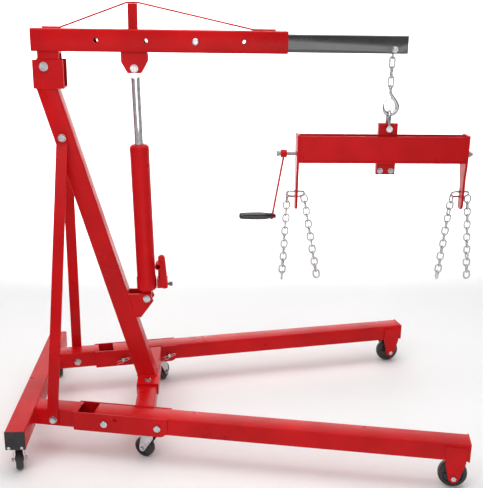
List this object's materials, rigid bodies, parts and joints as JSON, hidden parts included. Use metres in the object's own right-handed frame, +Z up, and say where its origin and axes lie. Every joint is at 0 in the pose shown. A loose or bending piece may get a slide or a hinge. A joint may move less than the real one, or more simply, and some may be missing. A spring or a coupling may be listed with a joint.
{
  "type": "engine hoist crane",
  "caption": "Folding engine hoist: V base on casters, leaning mast, hydraulic ram, telescoping boom, chain hook and crank load leveller.",
  "frame": {"origin": "middle of the whole crane's bounding box in X and Y, on the floor the wheels stand on", "axes": "+X along the boom, from the rear beam towards the hook; +Y to the crane's left; +Z up"},
  "size_m": [1.7136, 1.0966, 1.5863],
  "materials": {
    "red_paint": "glossy red powder coat on steel",
    "black_paint": "glossy black paint on steel",
    "chrome": "polished hard chrome",
    "zinc": "bright zinc plating",
    "wheel_black": "moulded black nylon",
    "grip_black": "smooth black plastic"
  },
  "bodies": {
    "base": {"rear_beam": "red_paint", "cross_beam": "red_paint", "mast": "red_paint", "left_rail": "red_paint", "right_rail": "red_paint", "left_socket": "red_paint", "right_socket": "red_paint", "left_brace": "red_paint", "right_brace": "red_paint", "left_brace_bolt": "zinc", "right_brace_bolt": "zinc", "brace_top_bolt": "zinc", "ram_base_bolt": "zinc", "boom_pivot_bolt": "zinc", "left_pivot_pin": "zinc", "right_pivot_pin": "zinc"},
    "boom": {"boom": "red_paint", "hinge_lugs": "red_paint", "ram_clevis": "red_paint", "left_ram_head_bolt": "zinc", "right_ram_head_bolt": "zinc", "truss_rod": "red_paint"},
    "extension": {"extension": "black_paint", "chain_bolt": "zinc"},
    "extension_pin": {"extension_pin": "zinc"},
    "ram_cylinder": {"ram_cylinder": "red_paint", "pump_block": "red_paint"},
    "ram_rod": {"ram_rod": "chrome"},
    "pump_lever": {"pump_lever": "red_paint"},
    "pump_plunger": {"pump_plunger": "zinc"},
    "release_valve": {"release_valve": "black_paint"},
    "load_chain": {"load_chain": "zinc"},
    "hook": {"hook": "zinc", "shackle": "zinc"},
    "carriage": {"leveller_carriage": "red_paint"},
    "leveller": {"leveller_beam": "red_paint", "rear_ring": "zinc", "front_ring": "zinc"},
    "crank": {"leveller_screw": "zinc", "crank_arm": "red_paint"},
    "crank_grip": {"crank_grip": "grip_black"},
    "rear_left_chain": {"rear_left_chain": "zinc"},
    "rear_right_chain": {"rear_right_chain": "zinc"},
    "front_left_chain": {"front_left_chain": "zinc"},
    "front_right_chain": {"front_right_chain": "zinc"},
    "left_leg": {"left_leg": "red_paint"},
    "left_front_wheel": {"left_front_wheel": "wheel_black"},
    "left_lock_pin": {"left_lock_pin": "zinc"},
    "left_rear_caster_fork": {"left_rear_caster_fork": "zinc"},
    "left_rear_caster_wheel": {"left_rear_caster_wheel": "wheel_black"},
    "left_middle_caster_fork": {"left_middle_caster_fork": "zinc"},
    "left_middle_caster_wheel": {"left_middle_caster_wheel": "wheel_black"},
    "right_leg": {"right_leg": "red_paint"},
    "right_front_wheel": {"right_front_wheel": "wheel_black"},
    "right_lock_pin": {"right_lock_pin": "zinc"},
    "right_rear_caster_fork": {"right_rear_caster_fork": "zinc"},
    "right_rear_caster_wheel": {"right_rear_caster_wheel": "wheel_black"},
    "right_middle_caster_fork": {"right_middle_caster_fork": "zinc"},
    "right_middle_caster_wheel": {"right_middle_caster_wheel": "wheel_black"}
  },
  "joints": [
    {"name": "boom_lift", "type": "hinge", "parent": "base", "child": "boom", "pos_m": [-0.7265, 0, 1.368], "axis": [0, -1, 0], "range_deg": [-25, 30]},
    {"name": "ram_tilt", "type": "hinge", "parent": "base", "child": "ram_cylinder", "pos_m": [-0.3925, 0, 0.512], "axis": [0, -1, 0], "range_deg": [-0.5, 0.5]},
    {"name": "ram_extend", "type": "slide", "parent": "ram_cylinder", "child": "ram_rod", "axis": [-0.03, 0, 0.9995], "range_m": [-0.135, 0.16]},
    {"name": "extension_slide", "type": "slide", "parent": "boom", "child": "extension", "axis": [1, 0, 0], "range_m": [-0.17, 0.17]},
    {"name": "extension_pin_pull", "type": "slide", "parent": "boom", "child": "extension_pin", "axis": [0, -1, 0], "range_m": [0, 0.11]},
    {"name": "load_chain_hang", "type": "hinge", "parent": "extension", "child": "load_chain", "pos_m": [0.4905, 0, 1.4385], "axis": [0, -1, 0], "range_deg": [-30, 25]},
    {"name": "hook_turn", "type": "hinge", "parent": "load_chain", "child": "hook", "pos_m": [0.4905, 0, 1.3137], "axis": [0, 0, 1], "range_deg": [-180, 180]},
    {"name": "leveller_tilt", "type": "hinge", "parent": "hook", "child": "carriage", "pos_m": [0.4905, 0, 1.16], "axis": [0, -1, 0], "range_deg": [-8, 8]},
    {"name": "leveller_shift", "type": "slide", "parent": "carriage", "child": "leveller", "axis": [-1, 0, 0], "range_m": [-0.12, 0.12]},
    {"name": "crank_turn", "type": "hinge", "parent": "leveller", "child": "crank", "pos_m": [0.1135, 0, 1.065], "axis": [1, 0, 0], "range_deg": [-8645, 8645]},
    {"name": "grip_spin", "type": "hinge", "parent": "crank", "child": "crank_grip", "pos_m": [0.0735, 0, 0.829], "axis": [1, 0, 0], "continuous": true},
    {"name": "rear_left_chain_swing", "type": "hinge", "parent": "leveller", "child": "rear_left_chain", "pos_m": [0.1335, 0.0124, 0.9115], "axis": [1, 0, 0], "range_deg": [-45, 45]},
    {"name": "rear_right_chain_swing", "type": "hinge", "parent": "leveller", "child": "rear_right_chain", "pos_m": [0.1935, 0.0124, 0.9115], "axis": [1, 0, 0], "range_deg": [-45, 45]},
    {"name": "front_left_chain_swing", "type": "hinge", "parent": "leveller", "child": "front_left_chain", "pos_m": [0.7545, 0.0124, 0.9115], "axis": [1, 0, 0], "range_deg": [-45, 45]},
    {"name": "front_right_chain_swing", "type": "hinge", "parent": "leveller", "child": "front_right_chain", "pos_m": [0.8145, 0.0124, 0.9115], "axis": [1, 0, 0], "range_deg": [-45, 45]},
    {"name": "left_leg_fold", "type": "hinge", "parent": "base", "child": "left_leg", "pos_m": [-0.52594, 0.27113, 0.1427], "axis": [0.1874, -0.9823, 0], "range_deg": [0, 90]},
    {"name": "left_front_wheel_roll", "type": "hinge", "parent": "left_leg", "child": "left_front_wheel", "pos_m": [0.67824, 0.50084, 0.05], "axis": [-0.1874, 0.9823, 0], "continuous": true},
    {"name": "left_lock_pin_pull", "type": "slide", "parent": "base", "child": "left_lock_pin", "axis": [-0.1874, 0.9823, 0], "range_m": [0, 0.11]},
    {"name": "left_rear_caster_swivel", "type": "hinge", "parent": "base", "child": "left_rear_caster_fork", "pos_m": [-0.8215, 0.385, 0.1], "axis": [0, 0, 1], "continuous": true},
    {"name": "left_rear_caster_roll", "type": "hinge", "parent": "left_rear_caster_fork", "child": "left_rear_caster_wheel", "pos_m": [-0.81477, 0.35989, 0.038], "axis": [0.9659, 0.2588, 0], "continuous": true},
    {"name": "left_middle_caster_swivel", "type": "hinge", "parent": "base", "child": "left_middle_caster_fork", "pos_m": [-0.36888, 0.30109, 0.1], "axis": [0, 0, 1], "continuous": true},
    {"name": "left_middle_caster_roll", "type": "hinge", "parent": "left_middle_caster_fork", "child": "left_middle_caster_wheel", "pos_m": [-0.35667, 0.32405, 0.038], "axis": [-0.8829, 0.4695, 0], "continuous": true},
    {"name": "right_leg_fold", "type": "hinge", "parent": "base", "child": "right_leg", "pos_m": [-0.52594, -0.27113, 0.1427], "axis": [-0.1874, -0.9823, 0], "range_deg": [0, 90]},
    {"name": "right_front_wheel_roll", "type": "hinge", "parent": "right_leg", "child": "right_front_wheel", "pos_m": [0.67824, -0.50084, 0.05], "axis": [-0.1874, -0.9823, 0], "continuous": true},
    {"name": "right_lock_pin_pull", "type": "slide", "parent": "base", "child": "right_lock_pin", "axis": [-0.1874, -0.9823, 0], "range_m": [0, 0.11]},
    {"name": "right_rear_caster_swivel", "type": "hinge", "parent": "base", "child": "right_rear_caster_fork", "pos_m": [-0.8215, -0.385, 0.1], "axis": [0, 0, 1], "continuous": true},
    {"name": "right_rear_caster_roll", "type": "hinge", "parent": "right_rear_caster_fork", "child": "right_rear_caster_wheel", "pos_m": [-0.82823, -0.35989, 0.038], "axis": [-0.9659, -0.2588, 0], "continuous": true},
    {"name": "right_middle_caster_swivel", "type": "hinge", "parent": "base", "child": "right_middle_caster_fork", "pos_m": [-0.36888, -0.30109, 0.1], "axis": [0, 0, 1], "continuous": true},
    {"name": "right_middle_caster_roll", "type": "hinge", "parent": "right_middle_caster_fork", "child": "right_middle_caster_wheel", "pos_m": [-0.3914, -0.28809, 0.038], "axis": [-0.5, -0.866, 0], "continuous": true},
    {"name": "pump_lever_swing", "type": "hinge", "parent": "ram_cylinder", "child": "pump_lever", "pos_m": [-0.32503, -0.0255, 0.56405], "axis": [0, 1, 0], "range_deg": [0, 50]},
    {"name": "pump_plunger_stroke", "type": "slide", "parent": "ram_cylinder", "child": "pump_plunger", "axis": [-0.03, 0, 0.9995], "range_m": [-0.02, 0.001]},
    {"name": "release_valve_turn", "type": "hinge", "parent": "ram_cylinder", "child": "release_valve", "pos_m": [-0.31388, -0.004, 0.56238], "axis": [0.9995, 0, 0.03], "range_deg": [0, 360]}
  ],
  "couplings": [
    {"joint": "ram_tilt", "follows": "boom_lift", "ratio": -0.014},
    {"joint": "ram_extend", "follows": "boom_lift", "m_per_rad": 0.299},
    {"joint": "load_chain_hang", "follows": "boom_lift", "ratio": -1},
    {"joint": "crank_turn", "follows": "leveller_shift", "rad_per_m": 1256.6},
    {"joint": "pump_plunger_stroke", "follows": "pump_lever_swing", "m_per_rad": -0.02}
  ]
}
